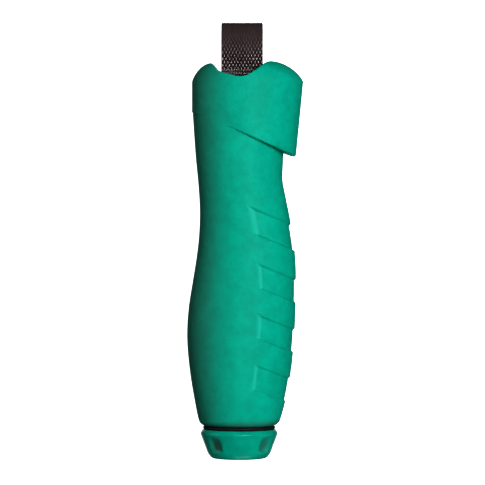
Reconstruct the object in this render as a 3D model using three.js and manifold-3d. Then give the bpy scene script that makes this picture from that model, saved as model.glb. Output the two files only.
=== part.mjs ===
// A pocket whetstone for woodcarving tools: a tapered stone rod, stowed point-in inside a moulded
// handle, held by a collet and its nut, with a webbing loop at the butt.
// Millimetres, +Z up. The tool lies on its flank: its axis runs along Y, with the nut at -Y.
//
// Every piece is drawn about the tool's own axis: y is the distance from the nut's end face,
// +x is the side that the fingers wrap, and z is the thickness. One group then moves the tool to
// its place on the ground.

import * as THREE from 'three';
import { mergeVertices } from 'three/addons/utils/BufferGeometryUtils.js';
import Module from 'manifold-3d';

const wasm = await Module();
wasm.setup();

// ---------- driving dimensions ----------

const GAP = 0.3;                  // between touching pieces
const LENGTH = 139;               // nut face to the top of the loop
const FLANK = 15;                 // half of the thickness, at the belly and at the cap
const LEFT_REACH = 16.6;          // belly, from the axis
const RIGHT_REACH = 20.45;        // cap, from the axis

const GRIP_START = 10.4;
const GRIP_CORNER = 1.8;          // rounding of the grip's lower rim
const GRIP_BORE = 10;
const WINDOW_DEPTH = 0.6;
const WINDOW_SLOPE = 0.41;        // the windows' edges fall towards the fingers
// Lower and upper edge of each finger window, where the edge's line would cross the axis.
const WINDOWS = [[24.0, 32.7], [40.7, 48.8], [56.8, 64.8], [73.2, 81.7]];

const CAP_EDGE = 103.74;          // where the cap's slanted lower edge crosses the axis
const CAP_SLOPE = 0.44;
const CAP_SHOULDER = 120;         // the side walls end here and the rounding begins
const CAP_TOP = 126.2;
const CAP_LEAN = 0.098;           // the right wall leans outwards
const CAP_LEFT_REACH = 15.05;
const CAP_INWARD = { left: 5.6, right: 9.75, flank: 5.5 };     // how far the dome draws in
const SADDLE_LEFT = -9;           // the hollow's ends, on the horns
const SADDLE_RIGHT = 9.8;
const SADDLE_KINK = [-6.5, 122.9];
const SADDLE_FLOOR = 121;
const SLOT_MOUTH = { below: 1.4, above: 3.6, wider: 4 };        // about the loop's hinge
const SQUARENESS = 2.05;          // of the grip and the cap: 2 is an ellipse, more is squarer

const CORE_RADIUS = 9.7;
const CORE_START = 10.6;
const CORE_TOP = 109;
const CORE_BORE = 6.2;
const SEAT_DEPTH = 24.3;          // the ferrule's seat ends here
const PLUG_SEAT = 7.6;
const PLUG_SEAT_START = 99.5;
const SPIGOT_TOP = CORE_TOP + 1;
const PLUG_HEAD = { x: [-7.8, 9.66], y: [CORE_TOP + GAP, 118], z: [-6, 6] };

const THREAD_PITCH = 1.5;
const THREAD_HEIGHT = 0.45;
const THREAD_RADIUS = 7.875;      // mean radius of the ferrule's thread
const THREAD_START = 5.5;
const THREAD_END = 9.3;

const NUT_LENGTH = 9.3;
const NUT_TIP_RADIUS = 9.4;
const NUT_WIDE_RADIUS = 12.35;
const NUT_WIDE_AT = 7.9;
const NUT_RECESS = { width: 3.8, height: 4.2, depth: 0.8, middle: 4.6, turn: 3, count: 4 };

const COLLET_BORE = 5.25;
const HOLDER_RADIUS = 5;
const HOLDER_START = 0.4;
const HOLDER_END = 20;
const STONE_TIP = 95;

const WEBBING_WIDTH = 13;
const WEBBING_MIDDLE = 0.93;      // the loop stands a little to the finger side
const WEBBING_THICK = 1.4;
const PIN_AT = 113.2;
const PIN_RADIUS = 2;
const HINGE_AT = 123.4;           // the loop bends here
const LOOP_RADIUS = 4.3;          // outside of the loop's round top
const CROSS_PIN_AT = 20.9;
const CROSS_PIN_RADIUS = 0.9;

const ROUND = 28;                 // sides of a turned piece
const OVAL = 36;                  // sides of the grip and the cap

// ---------- solids ----------

function toSolid(geometry) {
  const bare = geometry.clone();
  bare.deleteAttribute('normal');
  bare.deleteAttribute('uv');
  const merged = mergeVertices(bare);
  const corners = merged.index.array;
  const triangles = [];
  for (let i = 0; i < corners.length; i += 3) {
    const [a, b, c] = corners.slice(i, i + 3);
    if (a !== b && b !== c && c !== a) triangles.push(a, b, c);
  }
  return new wasm.Manifold(new wasm.Mesh({
    numProp: 3,
    vertProperties: merged.attributes.position.array,
    triVerts: new Uint32Array(triangles),
  }));
}

function toGeometry(solid) {
  const mesh = solid.getMesh();
  const geometry = new THREE.BufferGeometry();
  geometry.setAttribute('position', new THREE.BufferAttribute(mesh.vertProperties, 3));
  geometry.setIndex(new THREE.BufferAttribute(mesh.triVerts, 1));
  geometry.computeVertexNormals();
  return geometry;
}

function cut(geometry, ...tools) {
  const result = tools.reduce((body, tool) => body.subtract(toSolid(tool)), toSolid(geometry));
  return toGeometry(result);
}

function join(geometry, ...others) {
  const result = others.reduce((body, other) => body.add(toSolid(other)), toSolid(geometry));
  return toGeometry(result);
}

// A turned piece. The outline goes anticlockwise, as [radius, distance] points, and ends on the
// axis or where it started.
function turned(outline, sides = ROUND) {
  return new THREE.LatheGeometry(outline.map(([r, y]) => new THREE.Vector2(r, y)), sides);
}

function ring(outline, sides = ROUND) {
  return turned([...outline, outline[0]], sides);
}

function disc(radius, from, to, sides = ROUND) {
  return turned([[0, from], [radius, from], [radius, to], [0, to]], sides);
}

// A rod along x.
function crossRod(radius, from, to, at, sides) {
  const rod = new THREE.CylinderGeometry(radius, radius, to - from, sides);
  return rod.rotateZ(Math.PI / 2).translate((from + to) / 2, at, 0);
}

function box(x, y, z) {
  const size = [x, y, z].map(([low, high]) => high - low);
  const middle = [x, y, z].map(([low, high]) => (low + high) / 2);
  return new THREE.BoxGeometry(...size).translate(...middle);
}

// A side-view outline, as a Shape or as [x, y] points, carried through the whole thickness.
function throughFlanks(outline) {
  const depth = 4 * FLANK;
  const points = () => outline.map(([x, y]) => new THREE.Vector2(x, y));
  const shape = outline instanceof THREE.Shape ? outline : new THREE.Shape(points());
  const options = { depth, bevelEnabled: false, curveSegments: 5 };
  return new THREE.ExtrudeGeometry(shape, options).translate(0, 0, -depth / 2);
}

// An edge-view outline (thickness against distance) carried across the webbing's width.
function acrossWebbing(shape, width) {
  const options = { depth: width, bevelEnabled: false, curveSegments: 10 };
  const solid = new THREE.ExtrudeGeometry(shape, options);
  return solid.rotateY(Math.PI / 2).translate(WEBBING_MIDDLE - width / 2, 0, 0);
}

// A smooth curve through [distance, value] stations, as a function of the distance.
function through(stations) {
  const [distances, values] = [0, 1].map((column) => stations.map((station) => station[column]));
  const curve = new THREE.CubicInterpolant(distances, values, 1);
  return (y) => curve.evaluate(y)[0];
}

// An oval body. section(y) gives its reach to the left, to the right and to each flank.
function oval(rows, section) {
  const wall = rows.map((y) => [1, y]);
  const geometry = turned([[0, rows[0]], ...wall, [0, rows.at(-1)]], OVAL);
  const points = geometry.attributes.position;
  const bulge = (t) => Math.sign(t) * Math.abs(t) ** (2 / SQUARENESS);
  for (let i = 0; i < points.count; i += 1) {
    const [x, y, z] = [points.getX(i), points.getY(i), points.getZ(i)];
    const { left, right, flank } = section(y);
    const middle = (right - left) / 2;
    const reach = (right + left) / 2;
    points.setXYZ(i, middle + reach * bulge(x), y, flank * bulge(z));
  }
  return geometry;
}

function steps(from, to, count) {
  return Array.from({ length: count + 1 }, (_, i) => from + ((to - from) * i) / count);
}

// ---------- grip and cap ----------

const gripLeft = through([
  [10, 12.3], [13, 13.1], [18.5, 14.2], [27, 15.6], [40.5, LEFT_REACH], [48, 16.1], [57, 14.7],
  [65, 13.45], [71, 12.8], [78.5, 12.53], [86, 12.9], [95, 13.75], [112, 14.95],
]);
const gripRight = through([
  [10, 12.3], [13, 13.35], [17.5, 14.6], [27, 16.4], [36, 17.4], [48, 18], [57, 18.15],
  [65, 17.85], [76, 16.3], [83, 14.9], [89, 13.85], [94, 14], [112, 14.8],
]);
const gripFlank = through([
  [10, 12.3], [13, 13.1], [25, 14.4], [41, FLANK], [55, 14.6], [70, 13.2], [82, 12.6], [90, 12.9],
  [112, 14.6],
]);
const windowLeft = through([[20, 3.1], [31, 4.35], [47, 5.35], [59, 5.7], [71, 4.35], [82, 2.2]]);

function gripSection(inset) {
  return (y) => {
    const below = THREE.MathUtils.clamp(GRIP_START + GRIP_CORNER - y, 0, GRIP_CORNER);
    const corner = GRIP_CORNER - Math.sqrt(GRIP_CORNER ** 2 - below ** 2);
    const less = inset + corner;
    return { left: gripLeft(y) - less, right: gripRight(y) - less, flank: gripFlank(y) - less };
  };
}

function gripRows() {
  const corner = steps(0, Math.PI / 2, 4).map((t) => GRIP_START + GRIP_CORNER * (1 - Math.cos(t)));
  return [...corner, ...steps(GRIP_START + GRIP_CORNER, 112, 20).slice(1)];
}

function fingerWindow([low, high]) {
  const past = RIGHT_REACH + 5;
  const edge = (start) => {
    const x = windowLeft(start);
    return [[x, start - WINDOW_SLOPE * x], [past, start - WINDOW_SLOPE * past]];
  };
  const [lowLeft, lowRight] = edge(low);
  const [highLeft, highRight] = edge(high);
  return throughFlanks([lowLeft, lowRight, highRight, highLeft]);
}

const capLine = (x) => CAP_EDGE - CAP_SLOPE * x;

function gripSleeve() {
  const side = 2 * RIGHT_REACH;
  const above = throughFlanks([
    [-side, capLine(-side) - GAP], [side, capLine(side) - GAP], [side, LENGTH * 2], [-side, LENGTH * 2],
  ]);
  const bore = disc(GRIP_BORE, 0, LENGTH);
  const floor = oval(gripRows(), gripSection(WINDOW_DEPTH));
  const windows = WINDOWS.map((window) => cut(fingerWindow(window), floor));
  return cut(oval(gripRows(), gripSection(0)), above, bore, ...windows);
}

function capRounding(y) {
  const up = Math.min(1, Math.max(0, (y - CAP_SHOULDER) / (CAP_TOP - CAP_SHOULDER)));
  return 1 - (1 - up ** 1.3) ** 0.55;
}

function capSection(y) {
  const inward = capRounding(y);
  const right = RIGHT_REACH - CAP_LEAN * Math.max(0, CAP_SHOULDER - y);
  return {
    left: CAP_LEFT_REACH - CAP_INWARD.left * inward,
    right: right - CAP_INWARD.right * inward,
    flank: FLANK - CAP_INWARD.flank * inward,
  };
}

function capRows() {
  const rise = CAP_TOP - CAP_SHOULDER;
  const dome = steps(0, Math.PI / 2, 7).map((t) => CAP_SHOULDER + rise * Math.sin(t));
  return [94, ...dome];
}

// The hollow between the two horns that the loop stands in.
function saddle() {
  const rim = CAP_TOP + 0.1;
  const trough = [
    [-2.7, 121.6], [0, SADDLE_FLOOR], [2.3, 121.4], [5.3, 123.4], [7.4, 125], [SADDLE_RIGHT, rim],
  ];
  const shape = new THREE.Shape();
  shape.moveTo(SADDLE_LEFT, rim);
  shape.lineTo(...SADDLE_KINK);
  shape.splineThru(trough.map(([x, y]) => new THREE.Vector2(x, y)));
  shape.lineTo(SADDLE_RIGHT, LENGTH);
  shape.lineTo(SADDLE_LEFT, LENGTH);
  return throughFlanks(shape);
}

// The slot that the webbing comes out of, with a mouth that widens so that it can bend.
function slotMouth() {
  const neck = WEBBING_THICK + 2 * GAP;
  const mouth = neck + SLOT_MOUTH.wider;
  const bottom = PIN_AT + PIN_RADIUS;
  const flare = HINGE_AT - SLOT_MOUTH.below;
  const top = HINGE_AT + SLOT_MOUTH.above;
  const shape = new THREE.Shape();
  shape.moveTo(-neck, bottom);
  shape.lineTo(neck, bottom);
  shape.lineTo(neck, flare);
  shape.lineTo(mouth, top);
  shape.lineTo(-mouth, top);
  shape.lineTo(-neck, flare);
  return acrossWebbing(shape, WEBBING_WIDTH + 2 * GAP);
}

function buttCap() {
  const side = 2 * RIGHT_REACH;
  const below = throughFlanks([
    [-side, 0], [side, 0], [side, capLine(side)], [-side, capLine(-side)],
  ]);
  const coreHole = disc(GRIP_BORE, 0, SPIGOT_TOP + GAP);
  const wider = ([low, high]) => [low - GAP, high + GAP];
  const pocket = box(wider(PLUG_HEAD.x), [CORE_TOP, PLUG_HEAD.y[1] + GAP], wider(PLUG_HEAD.z));
  return cut(oval(capRows(), capSection), below, saddle(), coreHole, pocket, slotMouth());
}

// ---------- core ----------

function crossPinHole() {
  return crossRod(CROSS_PIN_RADIUS + GAP, -2 * CORE_RADIUS, 2 * CORE_RADIUS, CROSS_PIN_AT, 12);
}

function coreTube() {
  const seat = 8.7;
  const tube = ring([
    [seat, CORE_START], [CORE_RADIUS, CORE_START], [CORE_RADIUS, CORE_TOP], [PLUG_SEAT, CORE_TOP],
    [PLUG_SEAT, PLUG_SEAT_START], [CORE_BORE, PLUG_SEAT_START], [CORE_BORE, SEAT_DEPTH],
    [seat, SEAT_DEPTH],
  ]);
  return cut(tube, crossPinHole());
}

// Lifts the wall of a turned piece at this radius into a right-hand helical thread.
function cutThread(geometry, radius) {
  const points = geometry.attributes.position;
  for (let i = 0; i < points.count; i += 1) {
    const [x, y, z] = [points.getX(i), points.getY(i), points.getZ(i)];
    if (Math.abs(Math.hypot(x, z) - radius) > 0.001) continue;
    const turns = Math.atan2(x, z) / (2 * Math.PI);
    const wave = Math.cos(2 * Math.PI * (y / THREAD_PITCH - turns));
    const scale = 1 + (wave * THREAD_HEIGHT) / 2 / radius;
    points.setXYZ(i, x * scale, y, z * scale);
  }
  return geometry;
}

function threadFerrule() {
  const bore = 6.85;
  const guide = 5.35;
  const shoulder = 17.5;
  const body = 8.4;
  const root = THREAD_RADIUS - THREAD_HEIGHT / 2 - 0.1;
  const collar = THREAD_END + GAP;
  const thread = steps(THREAD_START, THREAD_END, 12).map((y) => [THREAD_RADIUS, y]);
  const ferrule = ring([
    [bore, THREAD_START], ...thread, [root, collar - 0.2], [root, collar], [body, collar],
    [body, SEAT_DEPTH - GAP], [guide, SEAT_DEPTH - GAP], [guide, shoulder], [bore, shoulder],
  ]);
  return cut(cutThread(ferrule, THREAD_RADIUS), crossPinHole());
}

// Two short pins lock the ferrule in the core, one on each side.
function ferrulePin(side) {
  const ends = [5.75 * side, (CORE_RADIUS - 0.2) * side].sort((a, b) => a - b);
  return crossRod(CROSS_PIN_RADIUS, ...ends, CROSS_PIN_AT, 12);
}

function sealRing() {
  const [from, to] = [NUT_LENGTH + GAP, GRIP_START - GAP];
  return ring([[8.7, from], [11.1, from], [11.35, (from + to) / 2], [11.1, to], [8.7, to]]);
}

function tipBumper() {
  const [cup, nose, head] = [3.3, CORE_BORE - GAP, PLUG_SEAT - GAP];
  const step = PLUG_SEAT_START + GAP;
  const rim = STONE_TIP - 2;
  return turned([
    [0, STONE_TIP + 0.4], [cup, STONE_TIP + 0.4], [cup, rim], [nose, rim], [nose, step],
    [head, step], [head, step + 2], [0, step + 2],
  ], 24);
}

function anchorPlug() {
  const spigot = disc(PLUG_SEAT - GAP, PLUG_SEAT_START + 2 + 2 * GAP, SPIGOT_TOP, 24);
  const head = box(PLUG_HEAD.x, PLUG_HEAD.y, PLUG_HEAD.z);
  const half = WEBBING_WIDTH / 2 + GAP;
  const bend = PIN_RADIUS + 2 * GAP + WEBBING_THICK;
  const slot = box(
    [WEBBING_MIDDLE - half, WEBBING_MIDDLE + half], [PIN_AT - bend, LENGTH], [-bend, bend],
  );
  const hole = crossRod(PIN_RADIUS + GAP, -2 * FLANK, 2 * FLANK, PIN_AT, 20);
  return cut(join(spigot, head), slot, hole);
}

function strapPin() {
  return crossRod(PIN_RADIUS, PLUG_HEAD.x[0] + GAP, PLUG_HEAD.x[1] - GAP, PIN_AT, 20);
}

// ---------- webbing ----------

// The outline of a band drawn tight round two circles on the axis, one above the other.
function bandOutline(Path, low, lowRadius, high, highRadius) {
  const tilt = Math.asin((highRadius - lowRadius) / (high - low));
  const path = new Path();
  path.absarc(0, high, highRadius, -tilt, Math.PI + tilt, false);
  path.absarc(0, low, lowRadius, Math.PI + tilt, 2 * Math.PI - tilt, false);
  path.closePath();
  return path;
}

function webbingLoop() {
  const top = LENGTH - LOOP_RADIUS;
  const shape = bandOutline(THREE.Shape, HINGE_AT, WEBBING_THICK, top, LOOP_RADIUS);
  shape.holes.push(bandOutline(THREE.Path, HINGE_AT + 0.8, 0.15, top, LOOP_RADIUS - WEBBING_THICK));
  return acrossWebbing(shape, WEBBING_WIDTH);
}

function webbingTail() {
  const end = HINGE_AT - WEBBING_THICK - GAP;
  const outside = PIN_RADIUS + GAP + WEBBING_THICK;
  const pressed = 117;            // above this the two plies lie together
  const lean = Math.atan2(outside - WEBBING_THICK, pressed - PIN_AT);
  const shape = new THREE.Shape();
  shape.moveTo(WEBBING_THICK, end);
  shape.lineTo(-WEBBING_THICK, end);
  shape.lineTo(-WEBBING_THICK, pressed);
  shape.absarc(0, PIN_AT, outside, Math.PI - lean / 4, 2 * Math.PI + lean / 4, false);
  shape.lineTo(WEBBING_THICK, pressed);
  shape.closePath();
  const round = new THREE.Path();
  round.absarc(0, PIN_AT, PIN_RADIUS + GAP, 0, 2 * Math.PI, false);
  shape.holes.push(round);
  return acrossWebbing(shape, WEBBING_WIDTH);
}

// ---------- nut and collet ----------

const NUT_TAPER = (NUT_WIDE_RADIUS - NUT_TIP_RADIUS) / NUT_WIDE_AT;
const INSERT = { start: 1.6, tip: 8, back: 9.3, groove: [4.4, 5.4] };

function nutRecess(index) {
  const { width, height, depth, middle, turn, count } = NUT_RECESS;
  const tall = 3 * depth;
  const surface = NUT_TIP_RADIUS + NUT_TAPER * middle;
  const tool = new THREE.BoxGeometry(width, height, tall).translate(0, 0, tall / 2 - depth);
  tool.rotateX(Math.atan(NUT_TAPER)).translate(0, middle, surface);
  return tool.rotateY(((index + 0.5) * 2 * Math.PI) / count + THREE.MathUtils.degToRad(turn));
}

function colletNut() {
  const mouth = 5.7;
  const lip = INSERT.start - GAP;
  const shell = ring([
    [mouth + 0.3, 0], [NUT_TIP_RADIUS - 0.7, 0], [NUT_TIP_RADIUS - 0.05, 0.25],
    [NUT_TIP_RADIUS + 0.3, 0.9], [NUT_WIDE_RADIUS - 0.08, NUT_WIDE_AT - 0.25],
    [NUT_WIDE_RADIUS, NUT_WIDE_AT + 0.1], [NUT_WIDE_RADIUS - 0.15, NUT_WIDE_AT + 0.5],
    [NUT_WIDE_RADIUS - 0.6, NUT_LENGTH],
    [INSERT.back + GAP, NUT_LENGTH], [INSERT.tip + GAP, lip], [mouth, lip], [mouth, 0.3],
  ], 40);
  return cut(shell, ...steps(0, NUT_RECESS.count - 1, NUT_RECESS.count - 1).map(nutRecess));
}

function nutInsert() {
  const mouth = 5.6;
  const radius = THREAD_RADIUS + GAP;
  const [grooveLow, grooveHigh] = INSERT.groove;
  const threadLow = grooveHigh + 0.2;
  const thread = steps(NUT_LENGTH, threadLow, 12).map((y) => [radius, y]);
  const insert = ring([
    [mouth, INSERT.start], [INSERT.tip, INSERT.start], [INSERT.back, NUT_LENGTH], ...thread,
    [8.1, grooveHigh], [8.1, grooveLow], [7.2, grooveLow - 0.1], [mouth, 2],
  ]);
  return cutThread(insert, radius);
}

function retainingRing() {
  const [low, high] = INSERT.groove;
  const [from, to] = [low + 0.25, high - 0.25];
  return ring([[6.3, from], [7.75, from], [7.75, to], [6.3, to]]);
}

function collet() {
  const [low, high] = INSERT.groove;
  const [nose, back, body, groove] = [2.3, 16, 6.55, 6];
  const cone = 6.9;
  const sleeve = ring([
    [COLLET_BORE, nose], [5.5, nose], [cone, low - 0.1], [cone, low], [groove, low],
    [groove, high], [body, high], [body, back], [COLLET_BORE, back],
  ]);
  const slots = [0, 1].map((i) => {
    const slot = box([-2 * body, 2 * body], [0, 12.5], [-0.4, 0.4]);
    return slot.rotateY(Math.PI / 4 + (i * Math.PI) / 2);
  });
  return cut(sleeve, ...slots);
}

// ---------- rod ----------

const STONE_SEAT = { radius: 3.9, from: 6 };
const O_RING = { at: 17.7, groove: 4.2, radius: 4.8, section: 0.3 };
const END_PLUG = { radius: 3, depth: 2 };

function rodHolder() {
  const recess = END_PLUG.radius + GAP;
  const recessEnd = HOLDER_START + END_PLUG.depth + GAP;
  const [grooveLow, grooveHigh] = [O_RING.at - 0.7, O_RING.at + 0.7];
  return turned([
    [0, recessEnd], [recess, recessEnd], [recess, HOLDER_START], [HOLDER_RADIUS - 0.4, HOLDER_START],
    [HOLDER_RADIUS, HOLDER_START + 0.4], [HOLDER_RADIUS, grooveLow], [O_RING.groove, grooveLow],
    [O_RING.groove, grooveHigh], [HOLDER_RADIUS, grooveHigh], [HOLDER_RADIUS, HOLDER_END - 0.3],
    [HOLDER_RADIUS - 0.3, HOLDER_END], [STONE_SEAT.radius, HOLDER_END],
    [STONE_SEAT.radius, STONE_SEAT.from], [0, STONE_SEAT.from],
  ]);
}

function whetstoneRod() {
  const shank = STONE_SEAT.radius - GAP;
  const shoulder = HOLDER_END + GAP;
  const [wide, narrow] = [4.5, 2.4];
  const tip = steps(0, Math.PI / 2, 4).map((t) => [
    narrow * Math.cos(t), STONE_TIP - narrow + narrow * Math.sin(t),
  ]);
  tip[tip.length - 1][0] = 0;
  return turned([
    [0, STONE_SEAT.from + GAP], [shank, STONE_SEAT.from + GAP], [shank, shoulder],
    [wide - 0.3, shoulder], [wide, shoulder + 0.5], ...tip,
  ]);
}

function holderEndPlug() {
  const { radius, depth } = END_PLUG;
  const face = HOLDER_START + 0.1;
  return turned([
    [0, face + 0.5], [1.4, face], [radius - 0.2, face], [radius, face + 0.2],
    [radius, HOLDER_START + depth], [0, HOLDER_START + depth],
  ], 24);
}

function holderORing() {
  const circle = steps(0, 2 * Math.PI, 8).slice(0, -1).map((t) => [
    O_RING.radius + O_RING.section * Math.cos(t), O_RING.at + O_RING.section * Math.sin(t),
  ]);
  return ring(circle, 24);
}

// ---------- assembly ----------

const green = { color: 0x06a288, roughness: 0.5, metalness: 0 };
const glossyGreen = { color: 0x069e84, roughness: 0.25, metalness: 0 };
const black = { color: 0x1c1d1f, roughness: 0.6, metalness: 0 };
const rubber = { color: 0x141414, roughness: 0.85, metalness: 0 };
const webbing = { color: 0x241b1c, roughness: 0.95, metalness: 0 };
const brass = { color: 0xb08d4a, roughness: 0.35, metalness: 1 };
const steel = { color: 0xb4b8bc, roughness: 0.3, metalness: 1 };
const stone = { color: 0xb9b6ad, roughness: 0.9, metalness: 0 };

const pieces = [
  ['grip_sleeve', gripSleeve(), green],
  ['butt_cap', buttCap(), green],
  ['core_tube', coreTube(), black],
  ['thread_ferrule', threadFerrule(), brass],
  ['ferrule_pin_left', ferrulePin(-1), steel],
  ['ferrule_pin_right', ferrulePin(1), steel],
  ['seal_ring', sealRing(), rubber],
  ['tip_bumper', tipBumper(), rubber],
  ['anchor_plug', anchorPlug(), black],
  ['strap_pin', strapPin(), steel],
  ['webbing_tail', webbingTail(), webbing],
  ['webbing_loop', webbingLoop(), webbing],
  ['collet_nut', colletNut(), glossyGreen],
  ['nut_insert', nutInsert(), brass],
  ['retaining_ring', retainingRing(), steel],
  ['collet', collet(), steel],
  ['rod_holder', rodHolder(), steel],
  ['whetstone_rod', whetstoneRod(), stone],
  ['holder_end_plug', holderEndPlug(), black],
  ['holder_o_ring', holderORing(), rubber],
];

const tool = new THREE.Group();
tool.position.set((LEFT_REACH - RIGHT_REACH) / 2, -LENGTH / 2, FLANK);
for (const [name, geometry, look] of pieces) {
  const mesh = new THREE.Mesh(geometry, new THREE.MeshStandardMaterial(look));
  mesh.name = name;
  tool.add(mesh);
}

const whetstone = new THREE.Group();
whetstone.add(tool);

export default whetstone;
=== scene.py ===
"""A pocket whetstone for woodcarving tools, stowed in its handle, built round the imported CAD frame.

Every piece is drawn in the tool's own frame, in millimetres: x towards the fingers, s the distance
from the nut's end face along the axis, z the thickness. place() takes it to the row frame.
"""
import math

import bmesh
import bpy
import numpy as np
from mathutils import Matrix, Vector


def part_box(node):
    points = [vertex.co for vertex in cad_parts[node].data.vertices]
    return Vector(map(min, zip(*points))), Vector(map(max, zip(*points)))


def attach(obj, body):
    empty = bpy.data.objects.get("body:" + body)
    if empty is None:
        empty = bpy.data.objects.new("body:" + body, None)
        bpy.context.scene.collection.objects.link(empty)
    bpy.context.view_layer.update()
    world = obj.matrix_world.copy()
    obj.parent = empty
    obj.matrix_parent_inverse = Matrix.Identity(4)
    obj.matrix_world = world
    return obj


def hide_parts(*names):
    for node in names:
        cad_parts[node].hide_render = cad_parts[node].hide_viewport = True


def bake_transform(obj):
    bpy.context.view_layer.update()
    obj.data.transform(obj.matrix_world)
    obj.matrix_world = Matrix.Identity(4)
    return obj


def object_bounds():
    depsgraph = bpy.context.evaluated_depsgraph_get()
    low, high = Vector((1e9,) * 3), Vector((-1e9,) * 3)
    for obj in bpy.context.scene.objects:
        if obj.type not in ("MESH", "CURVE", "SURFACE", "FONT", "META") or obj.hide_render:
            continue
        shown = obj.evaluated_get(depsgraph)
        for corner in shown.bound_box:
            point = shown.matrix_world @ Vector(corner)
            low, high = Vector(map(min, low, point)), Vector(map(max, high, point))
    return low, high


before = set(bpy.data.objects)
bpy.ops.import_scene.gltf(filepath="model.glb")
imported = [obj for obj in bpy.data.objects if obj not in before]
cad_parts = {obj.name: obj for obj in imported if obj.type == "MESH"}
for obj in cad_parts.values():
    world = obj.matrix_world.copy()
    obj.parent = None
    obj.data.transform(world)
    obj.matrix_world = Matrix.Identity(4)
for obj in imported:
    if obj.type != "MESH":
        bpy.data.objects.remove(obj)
CAD_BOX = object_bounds()

MM = 0.001
NUT_LOW, NUT_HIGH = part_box("collet_nut")
ORIGIN = np.array([
    (NUT_LOW.x + NUT_HIGH.x) / 2,
    NUT_LOW.y,
    (NUT_LOW.z + NUT_HIGH.z) / 2,
])

# ---------- sizes, in millimetres; the CAD source has the same ones, or plainer ones ----------

GAP = 0.3
LENGTH = (CAD_BOX[1][1] - CAD_BOX[0][1]) / MM
SQUARENESS = 2.05

GRIP_START = 10.4
GRIP_CORNER = 1.8
GRIP_BORE = 10.0
WINDOW_SLOPE = 0.41
# Lower edge, upper edge and depth of each finger window, and how wide its left wall is.
WINDOWS = [
    (24.0, 32.7, 0.50, 1.1),
    (40.7, 48.8, 0.60, 1.3),
    (56.8, 64.8, 0.60, 1.3),
    (73.2, 81.7, 0.70, 2.0),
]
WINDOW_EDGE = 0.8

# How far the colour goes towards the painted highlight's and the painted shade's tones, from 0 to 1.
PALM_SHADE = 0.62
RIM_SHADE = 0.6
WINDOW_HIGHLIGHT = 0.75

SEAM = 0.005                      # between the grip and the cap, which are moulded as one

CAP_EDGE = 103.74
CAP_SLOPE = 0.44
CAP_SHOULDER = 120.0
CAP_TOP = 125.85
CAP_TILT = 0.6                    # the horn on the fingers' side stands this much higher
CAP_REACH = {"left": 15.05, "right": 20.45, "flank": 15.0}
CAP_INWARD = {"left": 5.6, "right": 9.75, "flank": 5.5}
CAP_LEAN = 0.098

CORE_TOP = 109.0
CORE_MOUTH = 7.6                  # inner radius of the core's butt end, round the plug and the bumper
PLUG_HALF_DEPTH = 6.0             # of the plug's square head, which fills the cap's pocket
LOCK_AT = 20.9
LOCK_RADIUS = 0.9

WEBBING_WIDTH = 13.0
WEBBING_MIDDLE = 0.93
WEBBING_THICK = 1.3
LOOP_RADIUS = 4.3
PIN_AT = 113.2
PIN_RADIUS = 2.0
HINGE_AT = 123.4
SLOT_HALF_DEPTH = WEBBING_THICK + 0.6

NUT_LENGTH = 9.3
NUT_TIP_RADIUS = 9.4
NUT_WIDE_RADIUS = 12.35
NUT_WIDE_AT = 7.9
NUT_TAPER = (NUT_WIDE_RADIUS - NUT_TIP_RADIUS) / NUT_WIDE_AT
RECESS = {"half_width": 2.7, "half_height": 2.9, "depth": 0.75, "middle": 4.6, "turn": 3.0, "count": 4}

THREAD_PITCH = 1.5
THREAD_HEIGHT = 0.45
THREAD_RADIUS = 7.875

# ---------- small tools ----------

SHARP_ANGLE = math.radians(38)    # edges that turn more than this stay crisp


def place(points):
    """Points of the tool's frame, (x, s, z) in millimetres, in the row frame in metres."""
    return np.asarray(points, float) * MM + ORIGIN


def smoothstep(low, high, t):
    part = np.clip((t - low) / (high - low), 0.0, 1.0)
    return part * part * (3.0 - 2.0 * part)


def smooth_curve(stations):
    """A smooth function through (distance, value) stations."""
    at, value = np.array(stations, float).T
    slope = np.gradient(value, at)

    def curve(t):
        t = np.clip(t, at[0], at[-1])
        i = np.clip(np.searchsorted(at, t) - 1, 0, len(at) - 2)
        step = at[i + 1] - at[i]
        u = (t - at[i]) / step
        start = (1 + 2 * u) * (1 - u) ** 2 * value[i] + u * (1 - u) ** 2 * step * slope[i]
        end = u * u * (3 - 2 * u) * value[i + 1] + u * u * (u - 1) * step * slope[i + 1]
        return start + end

    return curve


def soft_min(a, b, width):
    """The lower of two heights, with the ridge between them rounded over this width."""
    blend = np.maximum(width - np.abs(a - b), 0.0) / width
    return np.minimum(a, b) - blend * blend * width / 4


def bulge(t):
    return np.sign(t) * np.abs(t) ** (2 / SQUARENESS)


def oval(angles, left, right, flank):
    """x and z round an oval with these reaches. Angle 0 is the upper flank, a quarter turn is +x."""
    middle = (right - left) / 2
    reach = (right + left) / 2
    return middle + reach * bulge(np.sin(angles)), flank * bulge(np.cos(angles))


def rounded_box(angles, x_range, z_range, sharpness=8.0):
    """x and z round a rectangle with rounded corners."""
    sine, cosine = np.sin(angles), np.cos(angles)
    scale = (np.abs(sine) ** sharpness + np.abs(cosine) ** sharpness) ** (-1 / sharpness)
    x_middle, x_half = (x_range[0] + x_range[1]) / 2, (x_range[1] - x_range[0]) / 2
    z_middle, z_half = (z_range[0] + z_range[1]) / 2, (z_range[1] - z_range[0]) / 2
    return x_middle + x_half * sine * scale, z_middle + z_half * cosine * scale


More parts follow.
